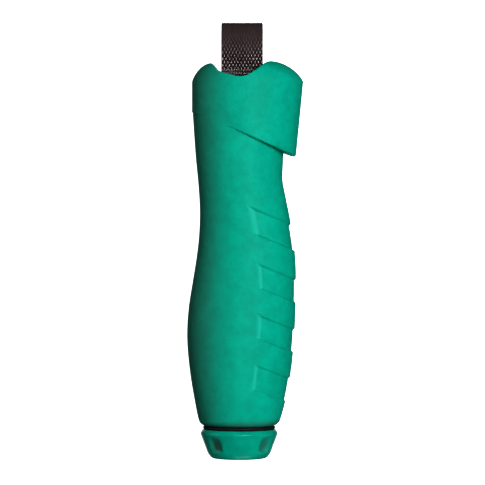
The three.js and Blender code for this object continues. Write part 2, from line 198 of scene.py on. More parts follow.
def mesh_piece(name, points, faces, material):
    """A smooth-shaded mesh object. points are in the tool's frame; the faces are turned outwards."""
    mesh = bpy.data.meshes.new(name)
    mesh.from_pydata(place(points).tolist(), [], faces)
    shell = bmesh.new()
    shell.from_mesh(mesh)
    bmesh.ops.recalc_face_normals(shell, faces=shell.faces)
    shell.to_mesh(mesh)
    shell.free()
    mesh.polygons.foreach_set("use_smooth", [True] * len(mesh.polygons))
    mesh.set_sharp_from_angle(angle=SHARP_ANGLE)
    mesh.materials.append(material)
    piece = bpy.data.objects.new(name, mesh)
    bpy.context.scene.collection.objects.link(piece)
    return piece


def wall_faces(rows, columns, first=0):
    """The faces of an open tube of points, stored ring by ring from this index on."""
    faces = []
    for row in range(rows - 1):
        for column in range(columns):
            beside = (column + 1) % columns
            low, high = first + row * columns, first + (row + 1) * columns
            faces.append((low + column, low + beside, high + beside, high + column))
    return faces


def grid_piece(name, grid, material):
    """A closed skin from a grid of points that wraps round both ways, like a doughnut."""
    rows, columns, _ = grid.shape
    index = np.arange(rows * columns).reshape(rows, columns)
    beside = np.roll(index, -1, axis=1)
    above = np.roll(index, -1, axis=0)
    across = np.roll(beside, -1, axis=0)
    faces = np.stack([index, beside, across, above], axis=-1).reshape(-1, 4)
    return mesh_piece(name, grid.reshape(-1, 3), faces.tolist(), material)


def eased(outline, radius, closed=True, steps=4):
    """The outline with each corner rounded off, as a machinist breaks an edge."""
    points = np.array(outline, float)
    result = []
    count = len(points)
    for i, corner in enumerate(points):
        if not closed and i in (0, count - 1):
            result.append(corner)
            continue
        arms = []
        for other in (points[i - 1], points[(i + 1) % count]):
            arm = other - corner
            length = np.linalg.norm(arm)
            arms.append(corner + arm / length * min(radius, 0.45 * length))
        for t in np.linspace(0, 1, steps + 1):
            result.append((1 - t) ** 2 * arms[0] + 2 * t * (1 - t) * corner + t * t * arms[1])
    return np.array(result)


def turned_grid(outline, columns):
    """Points of a turned piece: outline rows of (radius, s), swept round the axis."""
    angles = np.linspace(0, 2 * math.pi, columns, endpoint=False)
    radius, along = np.array(outline, float).T
    x = radius[:, None] * np.sin(angles)
    z = radius[:, None] * np.cos(angles)
    return np.stack([x, np.broadcast_to(along[:, None], x.shape), z], axis=-1), angles


def ring_piece(name, outline, material, ease=0.12, columns=128):
    """A turned piece with a hole, from a closed outline of (radius, s)."""
    grid, _ = turned_grid(eased(outline, ease), columns)
    return grid_piece(name, grid, material)


def solid_piece(name, outline, material, ease=0.12, columns=128):
    """A turned piece whose outline starts and ends on the axis."""
    profile = eased(outline, ease, closed=False)
    grid, _ = turned_grid(profile[1:-1], columns)
    rows = len(grid)
    points = grid.reshape(-1, 3).tolist()
    bottom, top = len(points), len(points) + 1
    points += [[0, profile[0][1], 0], [0, profile[-1][1], 0]]
    faces = wall_faces(rows, columns)
    last = (rows - 1) * columns
    for column in range(columns):
        beside = (column + 1) % columns
        faces.append((bottom, beside, column))
        faces.append((top, last + column, last + beside))
    return mesh_piece(name, points, faces, material)


def cross_rod(name, radius, from_x, to_x, at, material, columns=48):
    """A round rod along x, with eased ends."""
    profile = eased([(0, from_x), (radius, from_x), (radius, to_x), (0, to_x)], 0.15, closed=False)
    angles = np.linspace(0, 2 * math.pi, columns, endpoint=False)
    points = [[profile[0][1], at, 0], [profile[-1][1], at, 0]]
    rows = profile[1:-1]
    for reach, x in rows:
        points += [[x, at + reach * math.sin(a), reach * math.cos(a)] for a in angles]
    first = 2
    faces = wall_faces(len(rows), columns, first)
    last = first + (len(rows) - 1) * columns
    for column in range(columns):
        beside = (column + 1) % columns
        faces.append((0, first + beside, first + column))
        faces.append((1, last + column, last + beside))
    return mesh_piece(name, points, faces, material)


def cut_piece(piece, *tools):
    """Cuts the tools out of the piece and removes them."""
    for tool in tools:
        cut = piece.modifiers.new("cut", "BOOLEAN")
        cut.operation = "DIFFERENCE"
        cut.solver = "EXACT"
        cut.object = tool
    apply_modifiers(piece)
    for tool in tools:
        bpy.data.objects.remove(tool)
    return piece


def apply_modifiers(piece):
    depsgraph = bpy.context.evaluated_depsgraph_get()
    mesh = bpy.data.meshes.new_from_object(piece.evaluated_get(depsgraph))
    piece.modifiers.clear()
    piece.data = mesh
    return piece


def block(name, x_range, s_range, z_range, material):
    """A plain box."""
    corners = [(x, s, z) for x in x_range for s in s_range for z in z_range]
    faces = [(0, 1, 3, 2), (4, 6, 7, 5), (0, 4, 5, 1), (2, 3, 7, 6), (0, 2, 6, 4), (1, 5, 7, 3)]
    return mesh_piece(name, corners, faces, material)


def paint(piece, name, values):
    """Stores one number per point for the materials to read."""
    layer = piece.data.attributes.new(name, "FLOAT", "POINT")
    layer.data.foreach_set("value", np.asarray(values, np.float32).reshape(-1))


def settle(piece, body, slot, *nodes):
    """The piece rides this body and stands for these CAD nodes; slot, the name of its finish, is not used.
    """
    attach(piece, body)
    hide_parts(*nodes)
    return piece


# ---------- materials ----------


class Shader:
    """A Principled material that is being wired up."""

    def __init__(self, name):
        self.material = bpy.data.materials.new(name)
        self.material.use_nodes = True
        self.tree = self.material.node_tree
        self.principled = self.tree.nodes["Principled BSDF"]
        self.coordinates = self.tree.nodes.new("ShaderNodeTexCoord").outputs["Object"]

    def set(self, **values):
        for key, value in values.items():
            self.principled.inputs[key.replace("_", " ")].default_value = value
        return self

    def link(self, output, socket):
        self.tree.links.new(output, socket)

    def noise(self, scale, detail=3.0, roughness=0.5, stretch=None):
        node = self.tree.nodes.new("ShaderNodeTexNoise")
        node.inputs["Scale"].default_value = scale
        node.inputs["Detail"].default_value = detail
        node.inputs["Roughness"].default_value = roughness
        self.link(self.stretched(stretch), node.inputs["Vector"])
        return node.outputs["Fac"]

    def cells(self, scale, stretch=None):
        node = self.tree.nodes.new("ShaderNodeTexVoronoi")
        node.inputs["Scale"].default_value = scale
        self.link(self.stretched(stretch), node.inputs["Vector"])
        return node.outputs["Distance"]

    def stretched(self, stretch):
        if stretch is None:
            return self.coordinates
        node = self.tree.nodes.new("ShaderNodeMapping")
        node.inputs["Scale"].default_value = stretch
        self.link(self.coordinates, node.inputs["Vector"])
        return node.outputs["Vector"]

    def ramp(self, factor, stops):
        node = self.tree.nodes.new("ShaderNodeValToRGB")
        for element, (position, colour) in zip(self.elements(node, len(stops)), stops):
            element.position = position
            element.color = colour
        self.link(factor, node.inputs["Fac"])
        return node.outputs["Color"]

    def elements(self, node, count):
        elements = node.color_ramp.elements
        while len(elements) < count:
            elements.new(0.5)
        return elements

    def spread(self, factor, low, high):
        """The factor, taken from 0..1 to low..high; high may be another node's output."""
        node = self.tree.nodes.new("ShaderNodeMapRange")
        node.inputs["To Min"].default_value = low
        if isinstance(high, bpy.types.NodeSocket):
            self.link(high, node.inputs["To Max"])
        else:
            node.inputs["To Max"].default_value = high
        self.link(factor, node.inputs["Value"])
        return node.outputs["Result"]

    def bump(self, height, distance, strength=1.0):
        """Adds a bump on top of any bump already there."""
        node = self.tree.nodes.new("ShaderNodeBump")
        node.inputs["Strength"].default_value = strength
        node.inputs["Distance"].default_value = distance
        self.link(height, node.inputs["Height"])
        socket = self.principled.inputs["Normal"]
        if socket.is_linked:
            self.link(socket.links[0].from_socket, node.inputs["Normal"])
        self.link(node.outputs["Normal"], socket)
        return self

    def colour(self, output):
        self.link(output, self.principled.inputs["Base Color"])
        return self

    def roughness(self, output):
        self.link(output, self.principled.inputs["Roughness"])
        return self

    def painted(self, name):
        """The numbers that paint() stored on the mesh; 0 where there are none."""
        node = self.tree.nodes.new("ShaderNodeAttribute")
        node.attribute_name = name
        return node.outputs["Fac"]

    def tint(self, factor, colour):
        """Takes the base colour towards this one."""
        node = self.tree.nodes.new("ShaderNodeMix")
        node.data_type = "RGBA"
        node.inputs["B"].default_value = colour
        self.link(factor, node.inputs["Factor"])
        self.link(self.principled.inputs["Base Color"].links[0].from_socket, node.inputs["A"])
        return self.colour(node.outputs["Result"])


GRIP_TONE = (0.0, 0.435, 0.315)
NUT_TONE = (0.0, 0.40, 0.29)
# Tones of the painted highlight and the painted shade.
HIGHLIGHT_TONE = (0.03, 0.56, 0.43, 1)
SHADE_TONE = (0.05, 0.13, 0.10, 1)
DULL_YARN = 0.85                  # roughness of the webbing where nothing has rubbed it


def grey(value, alpha=1.0):
    return (value, value, value, alpha)


def moulded_green(name, tone, rough, grain, gloss):
    """Green elastomer or plastic: an uneven colour and a spark-eroded mould skin, darker where shade
    is painted into its colour and paler where a highlight is painted in."""
    shader = Shader(name).set(Specular_IOR_Level=gloss)
    dark = tuple(0.88 * c for c in tone) + (1,)
    light = tuple(1.07 * c for c in tone) + (1,)
    cloud = shader.noise(260, 6, 0.7)
    shader.colour(shader.ramp(cloud, [(0.35, dark), (0.65, light)]))
    # Painted highlight, then painted shade, mixed into the colour where the mesh carries them.
    shader.tint(shader.painted("painted_highlight"), HIGHLIGHT_TONE)
    shader.tint(shader.painted("painted_shade"), SHADE_TONE)
    shader.roughness(shader.spread(shader.noise(700, 5, 0.65), rough - 0.06, rough + 0.06))
    shader.bump(shader.cells(5200), 0.00002 * grain, 0.5)
    shader.bump(shader.noise(1500, 3), 0.00005 * grain, 0.5)
    return shader.material


def black_plastic():
    shader = Shader("core_black")
    shader.colour(shader.ramp(shader.noise(300), [(0.3, grey(0.012)), (0.7, grey(0.022))]))
    shader.roughness(shader.spread(shader.noise(900, 5), 0.42, 0.58))
    shader.bump(shader.cells(3000), 0.00002, 0.5)
    return shader.material


def black_rubber():
    shader = Shader("rubber_black")
    shader.colour(shader.ramp(shader.noise(400), [(0.3, grey(0.008)), (0.7, grey(0.016))]))
    shader.roughness(shader.spread(shader.noise(1200, 5), 0.6, 0.8))
    shader.bump(shader.noise(2500, 4), 0.00003, 0.6)
    return shader.material


def turned_metal(name, tone, rough):
    """Metal with fine rings left by the lathe tool, crowded along the axis."""
    shader = Shader(name)
    dark = tuple(0.82 * c for c in tone) + (1,)
    rings = shader.noise(900, 3, 0.6, stretch=(0.02, 9, 0.02))
    stains = shader.noise(260, 4, 0.6)
    shader.colour(shader.ramp(stains, [(0.3, dark), (0.7, tone + (1,))]))
    shader.roughness(shader.spread(rings, rough - 0.08, rough + 0.12))
    shader.bump(rings, 0.00001, 0.6)
    shader.set(Metallic=1.0)
    return shader.material


def whetstone():
    """Fine sharpening stone: pale grey grit with darker specks and rubbed, greyer patches."""
    shader = Shader("stone")
    grit = shader.noise(6500, 6, 0.75)
    swarf = shader.noise(140, 5, 0.6, stretch=(1, 0.35, 1))
    tree = shader.tree
    mix = tree.nodes.new("ShaderNodeMix")
    mix.data_type = "RGBA"
    mix.blend_type = "MULTIPLY"
    mix.inputs["Factor"].default_value = 0.8
    grains = shader.ramp(grit, [(0.3, (0.16, 0.155, 0.14, 1)), (0.62, (0.47, 0.455, 0.41, 1))])
    patches = shader.ramp(swarf, [(0.42, grey(0.62)), (0.62, grey(1.0))])
    shader.link(grains, mix.inputs["A"])
    shader.link(patches, mix.inputs["B"])
    shader.colour(mix.outputs["Result"])
    shader.roughness(shader.spread(swarf, 0.75, 0.95))
    shader.bump(grit, 0.00004, 0.9)
    return shader.material


def woven_webbing():
    """Dark brown filament yarn, polished where it rubs on the cap. The ribs are in the mesh; this
    adds the filaments and their sheen."""
    shader = Shader("webbing")
    fleck = shader.noise(1400, 3, 0.6)
    shader.colour(shader.ramp(fleck, [
        (0.3, (0.022, 0.016, 0.016, 1)),
        (0.6, (0.036, 0.023, 0.024, 1)),
        (0.8, (0.066, 0.035, 0.038, 1)),
    ]))
    filaments = shader.noise(2200, 2, 0.5, stretch=(6, 0.6, 1))
    polished = shader.spread(filaments, 0.18, 0.38)
    shader.roughness(shader.spread(shader.painted("polish"), DULL_YARN, polished))
    shader.bump(filaments, 0.00004, 0.7)
    shader.set(Specular_IOR_Level=0.95, Specular_Tint=(1, 0.82, 0.86, 1))
    return shader.material


MATERIALS = {
    "grip_green": moulded_green("grip_green", GRIP_TONE, 0.6, 1.0, 0.12),
    "nut_green": moulded_green("nut_green", NUT_TONE, 0.24, 0.35, 0.3),
    "core_black": black_plastic(),
    "rubber_black": black_rubber(),
    "brass": turned_metal("brass", (0.66, 0.46, 0.17), 0.28),
    "steel": turned_metal("steel", (0.55, 0.56, 0.57), 0.3),
    "holder_steel": turned_metal("holder_steel", (0.5, 0.505, 0.51), 0.36),
    "webbing": woven_webbing(),
    "stone": whetstone(),
}

# ---------- grip ----------

GRIP_LEFT = smooth_curve([
    (10, 12.3), (13, 13.1), (18.5, 14.2), (27, 15.6), (40.5, 16.6), (48, 16.1), (57, 14.7),
    (65, 13.45), (71, 12.8), (78.5, 12.53), (86, 12.9), (95, 13.75), (112, 14.95),
])
GRIP_RIGHT = smooth_curve([
    (10, 12.3), (13, 13.35), (17.5, 14.6), (27, 16.4), (36, 17.4), (48, 18.0), (57, 18.15),
    (65, 17.85), (76, 16.3), (83, 14.9), (89, 13.85), (94, 14.0), (112, 14.8),
])
GRIP_FLANK = smooth_curve([
    (10, 12.3), (13, 13.1), (25, 14.4), (41, 15), (55, 14.6), (70, 13.2), (82, 12.6), (90, 12.9),
    (112, 14.6),
])
WINDOW_LEFT = smooth_curve([(20, 3.1), (31, 4.35), (47, 5.35), (59, 5.7), (71, 4.35), (82, 2.2)])


def column_angles(count, crowded, width=0.2, strength=2.2):
    """Angles round the axis, closer together near the crowded ones."""
    fine = np.linspace(0, 2 * math.pi, 8001)
    density = np.ones_like(fine)
    for angle in crowded:
        away = np.abs((fine - angle + math.pi) % (2 * math.pi) - math.pi)
        density += strength * np.exp(-((away / width) ** 2))
    total = np.concatenate([[0], np.cumsum((density[1:] + density[:-1]) / 2)])
    wanted = np.linspace(0, total[-1], count, endpoint=False)
    return np.interp(wanted, total, fine)


def grip_rows():
    """Distances of the grip's rows where they cross the axis, crowded at the windows' edges."""
    corner = GRIP_START + GRIP_CORNER * (1 - np.cos(np.linspace(0, math.pi / 2, 11)))
    plain = np.arange(corner[-1] + 0.3, CAP_EDGE - 0.8, 0.62)
    edges = [edge for low, high, _, _ in WINDOWS for edge in (low, high)]
    crowded = [edge + offset for edge in edges for offset in np.arange(-0.9, 0.91, 0.12)]
    rows = np.concatenate([corner, plain, crowded, [CAP_EDGE - SEAM]])
    rows = np.unique(np.round(rows, 4))
    return rows[np.concatenate([[True], np.diff(rows) > 0.03])]


def row_slope(row):
    """How much a row tilts: level at the rim, as the windows' edges, then as the cap's edge."""
    start = WINDOW_SLOPE * np.clip((row - GRIP_START - 0.5) / (24 - GRIP_START - 0.5), 0, 1)
    return start + (CAP_SLOPE - WINDOW_SLOPE) * smoothstep(84, 103, row)


def grip_surface(angles, rows):
    """The grip's outside without its windows, on tilted rows."""
    row = rows[:, None]
    slope = row_slope(row)
    s = np.broadcast_to(row, (len(rows), len(angles))).copy()
    for _ in range(12):
        below = np.clip(GRIP_CORNER - (s - GRIP_START), 0, GRIP_CORNER)
        corner = GRIP_CORNER - np.sqrt(GRIP_CORNER ** 2 - below ** 2)
        reach = [curve(s) - corner for curve in (GRIP_LEFT, GRIP_RIGHT, GRIP_FLANK)]
        x, z = oval(angles, *reach)
        s = row - slope * x
    return np.stack([x, s, z], axis=-1)


def outward(grid):
    """Unit normals of an open-topped grid of points, pointing away from the axis."""
    along = np.gradient(grid, axis=0)
    round_about = (np.roll(grid, -1, axis=1) - np.roll(grid, 1, axis=1)) / 2
    normal = np.cross(along, round_about)
    normal /= np.linalg.norm(normal, axis=-1, keepdims=True) + 1e-12
    radial = grid * np.array([1, 0, 1])
    facing = np.sign(np.sum(normal * radial, axis=-1, keepdims=True))
    return normal * facing


def window_depth(grid, rows):
    """How far each point of the grip is pushed in."""
    x = grid[..., 0]
    row = np.broadcast_to(rows[:, None], x.shape)
    from_left = x - WINDOW_LEFT(row)
    depth = np.zeros_like(x)
    for low, high, deep, wall in WINDOWS:
        inside = smoothstep(0, wall, from_left)
        inside *= smoothstep(0, WINDOW_EDGE, row - low) * smoothstep(0, WINDOW_EDGE, high - row)
        depth += deep * inside
    return depth


def window_wall_highlight(grid, rows):
    """A painted highlight: 1 along the middle of each window's left wall, which faces the light, fading to
    0.
    """
    x = grid[..., 0]
    row = np.broadcast_to(rows[:, None], x.shape)
    painted_highlight = np.zeros_like(x)
    for low, high, _, wall in WINDOWS:
        beside = np.clip((x - WINDOW_LEFT(row)) / (1.4 * wall), 0, 1)
        within = smoothstep(0, 0.4, row - low) * smoothstep(0, 0.4, high - row)
        painted_highlight += 4 * beside * (1 - beside) * within
    return painted_highlight


def palm_side_shade(grid):
    """Painted shade: the palm's side, turned away from the light, is made darker and duller than the
    fingers' side.
    """
    return PALM_SHADE * (1 - smoothstep(-17.0, 1.0, grid[..., 0]))


def grip_sleeve():
    """The soft grip: its outside with the finger windows pushed in, and a plain round bore."""
    angles = column_angles(280, [0.25, math.pi - 0.25])
    rows = grip_rows()
    outside = grip_surface(angles, rows)
    outside -= outward(outside) * window_depth(outside, rows)[..., None]
    bore_x, bore_z = GRIP_BORE * np.sin(angles), GRIP_BORE * np.cos(angles)
    top = CAP_EDGE - SEAM - CAP_SLOPE * bore_x
    inside = []
    for part in (1.0, 0.66, 0.33, 0.0):
        s = GRIP_START + (top - GRIP_START) * part
        inside.append(np.stack([bore_x, s, bore_z], axis=-1))
    grid = np.concatenate([outside, np.array(inside)])
    piece = grid_piece("grip", grid, MATERIALS["grip_green"])
    # Painted highlight on the windows' left walls, which face the light.
    paint(piece, "painted_highlight", WINDOW_HIGHLIGHT * window_wall_highlight(grid, np.concatenate([rows, np.zeros(len(inside))])))
    # Painted shade along the lower rim, next to the gap at the seal ring.
    rim = RIM_SHADE * (1 - smoothstep(0.3, 3.2, grid[..., 1] - GRIP_START))
    # Painted shade on the palm side too, away from the light.
    paint(piece, "painted_shade", np.maximum(rim, palm_side_shade(grid)))
    return piece


# ---------- cap ----------


def cap_tilt(x):
    return CAP_TILT * smoothstep(-10.0, 10.0, x)


def trough_height(x):
    """Height of the saddle's hollow over x."""
    curve = smooth_curve([
        (-6.5, 122.9), (-2.7, 121.6), (0, 121), (2.3, 121.4), (5.3, 123.3), (7.3, 125), (9.2, 126.6),
    ])
    left_slope, right_slope = 1.5, 0.8
    left = np.maximum(-6.5 - x, 0) * left_slope
    right = np.maximum(x - 9.2, 0) * right_slope
    return curve(x) + left + right


def mouth_height(x, z):
    """Height of the slot's widened mouth, and very high away from it."""
    half = WEBBING_WIDTH / 2 + 0.5
    aside = np.maximum(np.abs(x - WEBBING_MIDDLE) - half, 0)
    return HINGE_AT - 1.4 + (np.abs(z) - SLOT_HALF_DEPTH) * 1.25 + aside * 6


def cap_skin(angles, up, s):
    """x and z of the cap's outside, this share of the way up its dome, or on its wall at height s.
    The dome leaves the wall with a corner at the sides and softly on the flanks."""
    lean = CAP_LEAN * np.maximum(0, CAP_SHOULDER - s)
    side = 1 - (1 - up ** 1.3) ** 0.55
    flank = 1 - (1 - up ** 2.2) ** 0.5
    return oval(
        angles,
        CAP_REACH["left"] - CAP_INWARD["left"] * side,
        CAP_REACH["right"] - CAP_INWARD["right"] * side - lean,
        CAP_REACH["flank"] - CAP_INWARD["flank"] * flank,
    )


LIP_CORNER = 0.55
LIP_SLOPE = 8.0
LIP_MIDDLE = 2.0


def cap_wall(angles):
    """Rows from the slanted lip up to the shoulder: at real heights above the lip in the lowest
    band, then at even shares of what is left of the wall."""
    band, full = 4.0, 30.0
    near_lip = np.linspace(0, 1, 20)[:-1] ** 1.6 * band
    above = np.concatenate([near_lip, np.linspace(band, full, 30)])
    rows = []
    for height in above:
        s = np.full_like(angles, CAP_EDGE)
        for _ in range(12):
            x, z = cap_skin(angles, 0.0, s)
            lip = CAP_EDGE - CAP_SLOPE * x
            tall = CAP_SHOULDER - lip
            part = min(height, band) + (tall - band) * max(0.0, height - band) / (full - band)
            s = lip + part
        distance = np.hypot(x - LIP_MIDDLE, z)
        step = (1 - grip_share(x, z, s)) * distance
        inward = lip_inset(x, height, step) / distance
        shift = (x - LIP_MIDDLE) * inward
        rows.append(np.stack([x - shift, s + CAP_SLOPE * shift, z * (1 - inward)], axis=-1))
    return rows


def grip_share(x, z, s):
    """Where the grip's surface lies on the line from the lip's middle to each of these points, as a
    share of the way."""
    left, right, flank = GRIP_LEFT(s), GRIP_RIGHT(s), GRIP_FLANK(s)
    middle, reach = (right - left) / 2, (right + left) / 2
    low, high = np.zeros_like(x), np.full_like(x, 1.2)
    for _ in range(24):
        share = (low + high) / 2
        across = np.abs((LIP_MIDDLE + (x - LIP_MIDDLE) * share - middle) / reach) ** SQUARENESS
        outside = across + np.abs(z * share / flank) ** SQUARENESS > 1
        high = np.where(outside, share, high)
        low = np.where(outside, low, share)
    return (low + high) / 2


def lip_inset(x, height, step):
    """How far the cap's wall is drawn in at this height above its lip, where it stands a step
    proud of the grip: a soft slope down to the grip on the thumb side, a tight corner under the
    overhang."""
    crisp = np.maximum(smoothstep(-6.0, 4.0, x), 1 - smoothstep(-14.4, -12.0, x))
    slope = (step - 0.01) * (1 - smoothstep(0, LIP_SLOPE, height))
    radius = np.minimum(LIP_CORNER + 0.6 * smoothstep(7, 14, x), 0.7 * step + 0.02)
    under = np.clip(1 - height / radius, 0, 1)
    corner = radius * (1 - np.sqrt(1 - under ** 2))
    return slope * (1 - crisp) + corner * crisp


def cap_crown(angles, slot_x, slot_z):
    """Rows over the rounded shoulder, into the saddle and up to the slot's edge."""
    rows = []
    turn = np.linspace(0, math.pi / 2, 26)[1:]
    for t in turn:
        up = math.sin(t) ** 1.4
        x, z = cap_skin(angles, up, CAP_SHOULDER)
        rows.append((x, z, CAP_SHOULDER + (CAP_TOP + cap_tilt(x) - CAP_SHOULDER) * up))
    edge_x, edge_z, _ = rows[-1]
    for part in np.linspace(0, 1, 30)[1:]:
        x = edge_x + (slot_x - edge_x) * part
        z = edge_z + (slot_z - edge_z) * part
        rows.append((x, z, CAP_TOP + cap_tilt(x)))
    result = []
    for x, z, dome in rows:
        hollow = soft_min(trough_height(x), mouth_height(x, z), 0.8)
        softness = np.clip(1.4 * (hollow - CAP_SHOULDER), 0.05, 1.3)
        result.append(np.stack([x, soft_min(dome, hollow, softness), z], axis=-1))
    return result


def butt_cap():
    """The cap: its outside, then down the slot, the pocket for the plug's head and the bore."""
    angles = column_angles(300, [0.0, math.pi], width=0.5, strength=1.2)
    half = WEBBING_WIDTH / 2 + GAP
    slot_x_range = (WEBBING_MIDDLE - half, WEBBING_MIDDLE + half)
    slot_z_range = (-SLOT_HALF_DEPTH, SLOT_HALF_DEPTH)
    slot_x, slot_z = rounded_box(angles, slot_x_range, slot_z_range, sharpness=14)
    outside = cap_wall(angles) + cap_crown(angles, slot_x, slot_z)
    pocket_low, pocket_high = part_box("anchor_plug")
    pocket_x = [(v - ORIGIN[0]) / MM for v in (pocket_low.x, pocket_high.x)]
    pocket_z = (-PLUG_HALF_DEPTH - GAP, PLUG_HALF_DEPTH + GAP)
    pocket_top = (pocket_high.y - ORIGIN[1]) / MM + GAP
    box_x, box_z = rounded_box(angles, (pocket_x[0] - GAP, pocket_x[1] + GAP), pocket_z, 14)
    bore_x, bore_z = GRIP_BORE * np.sin(angles), GRIP_BORE * np.cos(angles)
    lip = CAP_EDGE - CAP_SLOPE * bore_x
    level = np.ones_like(angles)
    inner = [
        (slot_x, (pocket_top + 1) * level, slot_z),
        (slot_x, pocket_top * level, slot_z),
        (box_x, pocket_top * level, box_z),
        (box_x, (CORE_TOP + GAP / 2) * level, box_z),
        (bore_x, (CORE_TOP + GAP / 2) * level, bore_z),
        (bore_x, lip + 1, bore_z),
        (bore_x, lip, bore_z),
    ]
    inside = [np.stack(row, axis=-1) for row in inner]
    grid = np.array(outside + inside)
    piece = grid_piece("cap", grid, MATERIALS["grip_green"])
    # Painted shade on the palm side, away from the light.
    paint(piece, "painted_shade", palm_side_shade(grid))
    return piece


# ---------- webbing ----------

RIBS = 24
WEBBING_STEP = 0.2                # between the rows of points along the webbing
PICK = 1.05                       # length of one float along the webbing
RIB_HEIGHT = 0.17
POLISHED = (127.0, 136.5)         # the sheen fades from the first distance to the second


def webbing_path():
    """The middle line of the webbing in (z, s): round the pin, up through the slot, round the loop."""
    mid = WEBBING_THICK / 2 + 0.06
    low = PIN_RADIUS + GAP + WEBBING_THICK / 2
    top = LENGTH - LOOP_RADIUS
    high = LOOP_RADIUS - 0.7
    tilt = math.asin(high / (top - HINGE_AT))
    side = []
    for t in np.linspace(-math.pi / 2, 0.25, 14):
        side.append((low * math.cos(t), PIN_AT + low * math.sin(t)))
    side += [(mid + 0.25, 116.6), (mid, 118), (mid, 120), (mid, 122), (mid, HINGE_AT + 0.8)]
    for t in np.linspace(-tilt, math.pi / 2, 16):
        side.append((high * math.cos(t), top + high * math.sin(t)))
    mirrored = [(-z, s) for z, s in reversed(side[1:-1])]
    points = np.array(side + mirrored)
    return evenly(points, WEBBING_STEP)


def evenly(points, spacing):
    """A closed line of points, softened and set at even steps."""
    loop = np.vstack([points, points[:1]])
    for count, passes in ((1200, 60), (None, 0)):
        lengths = np.concatenate([[0], np.cumsum(np.linalg.norm(np.diff(loop, axis=0), axis=1))])
        number = count or int(round(lengths[-1] / spacing / 12)) * 12
        wanted = np.linspace(0, lengths[-1], number, endpoint=False)
        loop = np.stack([np.interp(wanted, lengths, loop[:, i]) for i in range(2)], axis=-1)
        for _ in range(passes):
            loop = (np.roll(loop, 1, axis=0) + 2 * loop + np.roll(loop, -1, axis=0)) / 4
        loop = np.vstack([loop, loop[:1]])
    return loop[:-1]


def rib_relief(across, along, side):
    """Height of the weave: warp floats that pass over and under the picks in turn."""
    position = (across / WEBBING_WIDTH + 0.5) * RIBS
    rib = np.clip(np.floor(position), 0, RIBS - 1)
    within = np.clip(position - rib, 0, 1)
    round_top = np.sqrt(np.clip(1 - (2 * within - 1) ** 2, 0, 1))
    lift = np.cos(math.pi * along / PICK + math.pi * rib) * side
    return RIB_HEIGHT * (round_top * (0.6 + 0.3 * lift) + 0.35 * lift)


def selvedge(count, edge, core, turn):
    """One column of the webbing's rounded edge: across and height, for every row."""
    across = edge + math.copysign(0.12, edge) * math.sin(turn)
    return np.full(count, across), np.full(count, core * math.cos(turn))


def webbing():
    """The closed band of webbing, with its weave in relief on both faces and rounded edges."""
    path = webbing_path()
    count = len(path)
    tangent = np.roll(path, -1, axis=0) - np.roll(path, 1, axis=0)
    tangent /= np.linalg.norm(tangent, axis=1, keepdims=True)
    normal = np.stack([tangent[:, 1], -tangent[:, 0]], axis=-1)
    picks = round(count * WEBBING_STEP / PICK / 2) * 2
    along = np.arange(count) * picks * PICK / count
    half = WEBBING_WIDTH / 2
    core = WEBBING_THICK / 2 - RIB_HEIGHT
    columns = []
    flat = half - 0.05
    outer = np.linspace(-flat, flat, RIBS * 5 + 1)
    inner = np.linspace(flat, -flat, RIBS * 3 + 1)
    for across in outer:
        columns.append((np.full(count, across), core + rib_relief(across, along, 1)))
    for turn in np.linspace(0, math.pi, 5)[1:-1]:
        columns.append(selvedge(count, half, core, turn))
    for across in inner:
        columns.append((np.full(count, across), -core - rib_relief(across, along, -1)))
    for turn in np.linspace(math.pi, 0, 5)[1:-1]:
        columns.append(selvedge(count, -half, core, turn))
    grid = np.zeros((count, len(columns), 3))
    narrowing = 1 - 0.035 * smoothstep(LENGTH - 0.9, LENGTH - 0.3, path[:, 1])
    for i, (across, height) in enumerate(columns):
        grid[:, i, 0] = WEBBING_MIDDLE + across * narrowing
        grid[:, i, 1] = path[:, 1] + normal[:, 1] * height
        grid[:, i, 2] = path[:, 0] + normal[:, 0] * height
    piece = grid_piece("strap", grid, MATERIALS["webbing"])
    paint(piece, "polish", 1 - smoothstep(POLISHED[0], POLISHED[1], grid[..., 1]))
    return piece


# ---------- nut and collet ----------


def nut_shell():
    """The tapered nut, with four scooped recesses for the fingers."""
    mouth = 5.7
    back, tip, lip = 9.6, 8.3, 1.3
    cone = [(NUT_TIP_RADIUS + NUT_TAPER * s, s) for s in np.linspace(1.9, NUT_WIDE_AT - 0.5, 40)]
    outline = [
        (mouth, 0), (8.3, 0), (9.05, 0.35), (9.65, 1.1), *cone,
        (NUT_WIDE_RADIUS, NUT_WIDE_AT), (NUT_WIDE_RADIUS - 0.12, NUT_WIDE_AT + 0.4),
        (NUT_WIDE_RADIUS - 0.7, NUT_LENGTH), (back, NUT_LENGTH), (tip, lip), (mouth, lip),
    ]
    profile = eased(outline, 0.42, steps=5)
    grid, angles = turned_grid(profile, 320)
    radius = np.hypot(grid[..., 0], grid[..., 2])
    s = grid[..., 1]
    cone_radius = NUT_TIP_RADIUS + NUT_TAPER * s
    outside = radius > cone_radius - 0.7
    step = 2 * math.pi / RECESS["count"]
    turn = math.radians(RECESS["turn"]) + step / 2
    away = (angles - turn + step / 2) % step - step / 2
    u = np.abs(away)[None, :] * cone_radius / RECESS["half_width"]
    v = np.abs(s - RECESS["middle"]) / RECESS["half_height"]
    reach = (u ** 3 + v ** 3) ** (1 / 3)
    hollow = (1 - smoothstep(0.3, 1.08, reach)) * outside
    scale = 1 - RECESS["depth"] * hollow / radius
    grid[..., 0] *= scale
    grid[..., 2] *= scale
    piece = grid_piece("nut", grid, MATERIALS["nut_green"])
    # Painted shade in the recesses, darkest in the ones on the palm side.
    paint(piece, "painted_shade", hollow * (0.75 - 0.25 * np.sin(angles)))
    return piece


